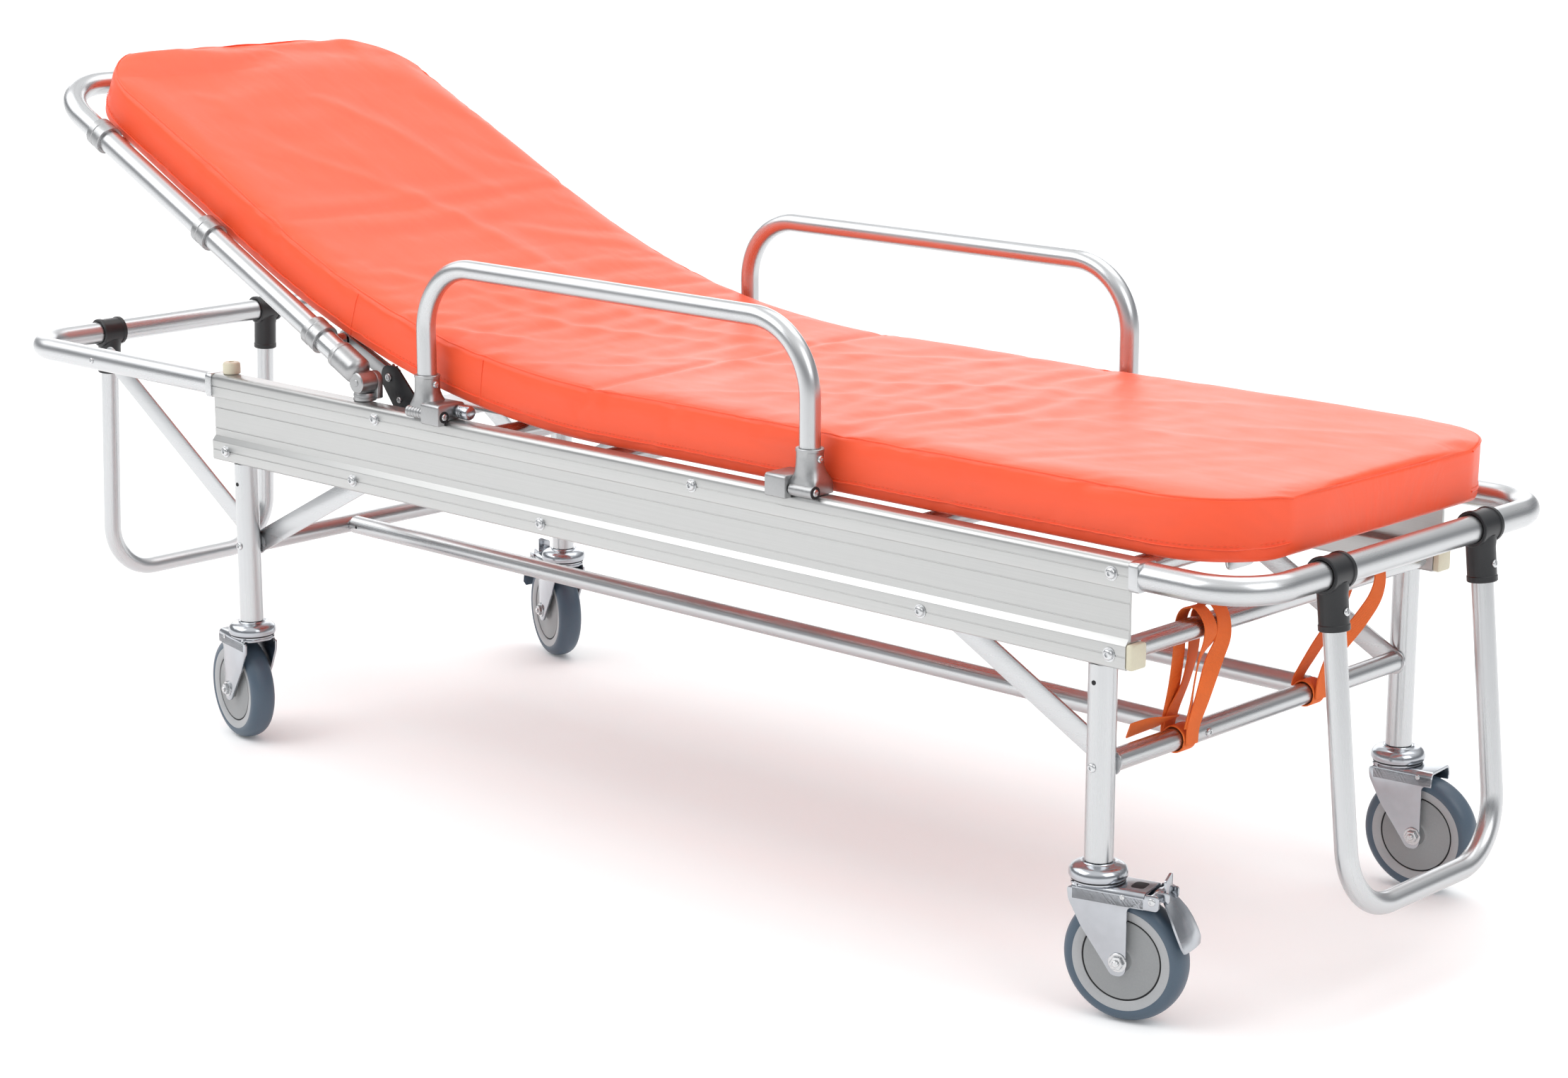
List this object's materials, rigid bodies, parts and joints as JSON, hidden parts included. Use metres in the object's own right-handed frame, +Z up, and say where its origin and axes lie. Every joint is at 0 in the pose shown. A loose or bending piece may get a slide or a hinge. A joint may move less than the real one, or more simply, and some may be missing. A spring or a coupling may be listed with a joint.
{
  "type": "stretcher trolley",
  "caption": "Low wheeled stretcher with a tilting backrest, folding side guards, drop handles at both ends and braked swivel casters under an orange mattress.",
  "frame": {"origin": "on the floor, under the centre of the whole trolley", "axes": "+X towards the foot end, +Y towards the patient's left, +Z up"},
  "size_m": [1.9835, 0.5899, 0.8145],
  "materials": {
    "tube_aluminium": "satin anodised tube",
    "rail_aluminium": "extruded and brushed along its length",
    "die_casting": "tumbled die casting",
    "plated_steel": "bright zinc plate",
    "black_plastic": "moulded, fine grain",
    "ivory_plastic": "moulded",
    "grey_plastic": "moulded wheel centre",
    "wheel_rubber": "smooth grey thermoplastic rubber",
    "mattress_cover": "coated cloth, soft sheen",
    "webbing": "woven strap"
  },
  "bodies": {
    "frame": {"foot_brace_left": "tube_aluminium", "foot_brace_right": "tube_aluminium", "foot_leg_left": "tube_aluminium", "foot_leg_right": "tube_aluminium", "foot_loop": "tube_aluminium", "guard_block_foot_left": "die_casting", "guard_block_foot_right": "die_casting", "guard_block_head_left": "die_casting", "guard_block_head_right": "die_casting", "head_brace_left": "tube_aluminium", "head_brace_right": "tube_aluminium", "head_leg_left": "tube_aluminium", "head_leg_right": "tube_aluminium", "head_loop": "tube_aluminium", "hinge_base_left": "die_casting", "hinge_base_right": "die_casting", "long_tube_left": "tube_aluminium", "long_tube_right": "tube_aluminium", "lower_cross_tube_foot": "tube_aluminium", "lower_cross_tube_head": "tube_aluminium", "mattress_seat": "mattress_cover", "rail_left": "rail_aluminium", "rail_right": "rail_aluminium", "ratchet_plate": "black_plastic", "rest_bumper_left": "ivory_plastic", "rest_bumper_right": "ivory_plastic", "seat_deck": "tube_aluminium", "strap_left": "webbing", "strap_right": "webbing", "upper_cross_tube_foot": "tube_aluminium", "upper_cross_tube_head": "tube_aluminium"},
    "backrest": {"backrest_frame": "tube_aluminium", "backrest_deck": "tube_aluminium", "ratchet_arm": "die_casting", "mattress_back": "mattress_cover"},
    "pawl": {"ratchet_pawl": "plated_steel"},
    "guard_right": {"guard_tube_right": "tube_aluminium", "guard_socket_head_right": "die_casting", "guard_socket_foot_right": "die_casting"},
    "guard_lock_right": {"guard_plunger_right": "plated_steel"},
    "guard_left": {"guard_tube_left": "tube_aluminium", "guard_socket_head_left": "die_casting", "guard_socket_foot_left": "die_casting"},
    "guard_lock_left": {"guard_plunger_left": "plated_steel"},
    "head_drop_handle": {"head_handle": "tube_aluminium", "head_tee_right": "black_plastic", "head_tee_left": "black_plastic"},
    "foot_drop_handle": {"foot_handle": "tube_aluminium", "foot_tee_right": "black_plastic", "foot_tee_left": "black_plastic"},
    "caster_foot_right": {"fork_foot_right": "plated_steel"},
    "caster_wheel_foot_right": {"wheel_foot_right": "wheel_rubber"},
    "pedal_foot_right": {"brake_pedal_foot_right": "plated_steel"},
    "caster_foot_left": {"fork_foot_left": "plated_steel"},
    "caster_wheel_foot_left": {"wheel_foot_left": "wheel_rubber"},
    "caster_head_right": {"fork_head_right": "plated_steel"},
    "caster_wheel_head_right": {"wheel_head_right": "wheel_rubber"},
    "caster_head_left": {"fork_head_left": "plated_steel"},
    "caster_wheel_head_left": {"wheel_head_left": "wheel_rubber"},
    "pedal_head_left": {"brake_pedal_head_left": "plated_steel"}
  },
  "joints": [
    {"name": "backrest_tilt", "type": "hinge", "parent": "frame", "child": "backrest", "pos_m": [-0.284, 0, 0.4755], "axis": [0, 1, 0], "range_deg": [-26.1, 48.9]},
    {"name": "ratchet_pawl_swing", "type": "hinge", "parent": "frame", "child": "pawl", "pos_m": [-0.266, -0.2136, 0.4515], "axis": [0, 1, 0], "range_deg": [-10, 0]},
    {"name": "guard_fold_right", "type": "hinge", "parent": "frame", "child": "guard_right", "pos_m": [0, -0.272, 0.457], "axis": [1, 0, 0], "range_deg": [0, 172]},
    {"name": "guard_lock_pull_right", "type": "slide", "parent": "frame", "child": "guard_lock_right", "axis": [1, 0, 0], "range_m": [0, 0.008], "stiffness_N_per_m": 300, "springref_m": -0.004},
    {"name": "guard_fold_left", "type": "hinge", "parent": "frame", "child": "guard_left", "pos_m": [0, 0.272, 0.457], "axis": [-1, 0, 0], "range_deg": [0, 172]},
    {"name": "guard_lock_pull_left", "type": "slide", "parent": "frame", "child": "guard_lock_left", "axis": [1, 0, 0], "range_m": [0, 0.008], "stiffness_N_per_m": 300, "springref_m": -0.004},
    {"name": "head_handle_swing", "type": "hinge", "parent": "frame", "child": "head_drop_handle", "pos_m": [-0.963, 0, 0.4375], "axis": [0, 1, 0], "range_deg": [-75, 85]},
    {"name": "foot_handle_swing", "type": "hinge", "parent": "frame", "child": "foot_drop_handle", "pos_m": [0.946, 0, 0.4375], "axis": [0, -1, 0], "range_deg": [-34, 82]},
    {"name": "caster_swivel_foot_right", "type": "hinge", "parent": "frame", "child": "caster_foot_right", "pos_m": [0.784, -0.257, 0.135], "axis": [0, 0, 1], "continuous": true},
    {"name": "wheel_spin_foot_right", "type": "hinge", "parent": "caster_foot_right", "child": "caster_wheel_foot_right", "pos_m": [0.81408, -0.2495, 0.0625], "axis": [-0.2419, 0.9703, 0], "continuous": true},
    {"name": "brake_pedal_rock_foot_right", "type": "hinge", "parent": "caster_foot_right", "child": "pedal_foot_right", "pos_m": [0.8461, -0.24152, 0.128], "axis": [0.2419, -0.9703, 0], "range_deg": [0, 15]},
    {"name": "caster_swivel_foot_left", "type": "hinge", "parent": "frame", "child": "caster_foot_left", "pos_m": [0.784, 0.257, 0.135], "axis": [0, 0, 1], "continuous": true},
    {"name": "wheel_spin_foot_left", "type": "hinge", "parent": "caster_foot_left", "child": "caster_wheel_foot_left", "pos_m": [0.81483, 0.26024, 0.0625], "axis": [-0.1045, 0.9945, 0], "continuous": true},
    {"name": "caster_swivel_head_right", "type": "hinge", "parent": "frame", "child": "caster_head_right", "pos_m": [-0.511, -0.257, 0.135], "axis": [0, 0, 1], "continuous": true},
    {"name": "wheel_spin_head_right", "type": "hinge", "parent": "caster_head_right", "child": "caster_wheel_head_right", "pos_m": [-0.54132, -0.25056, 0.0625], "axis": [-0.2079, -0.9781, 0], "continuous": true},
    {"name": "caster_swivel_head_left", "type": "hinge", "parent": "frame", "child": "caster_head_left", "pos_m": [-0.511, 0.257, 0.135], "axis": [0, 0, 1], "continuous": true},
    {"name": "wheel_spin_head_left", "type": "hinge", "parent": "caster_head_left", "child": "caster_wheel_head_left", "pos_m": [-0.53974, 0.26861, 0.0625], "axis": [-0.3746, -0.9272, 0], "continuous": true},
    {"name": "brake_pedal_rock_head_left", "type": "hinge", "parent": "caster_head_left", "child": "pedal_head_left", "pos_m": [-0.57034, 0.28097, 0.128], "axis": [0.3746, 0.9272, 0], "range_deg": [0, 15]}
  ]
}
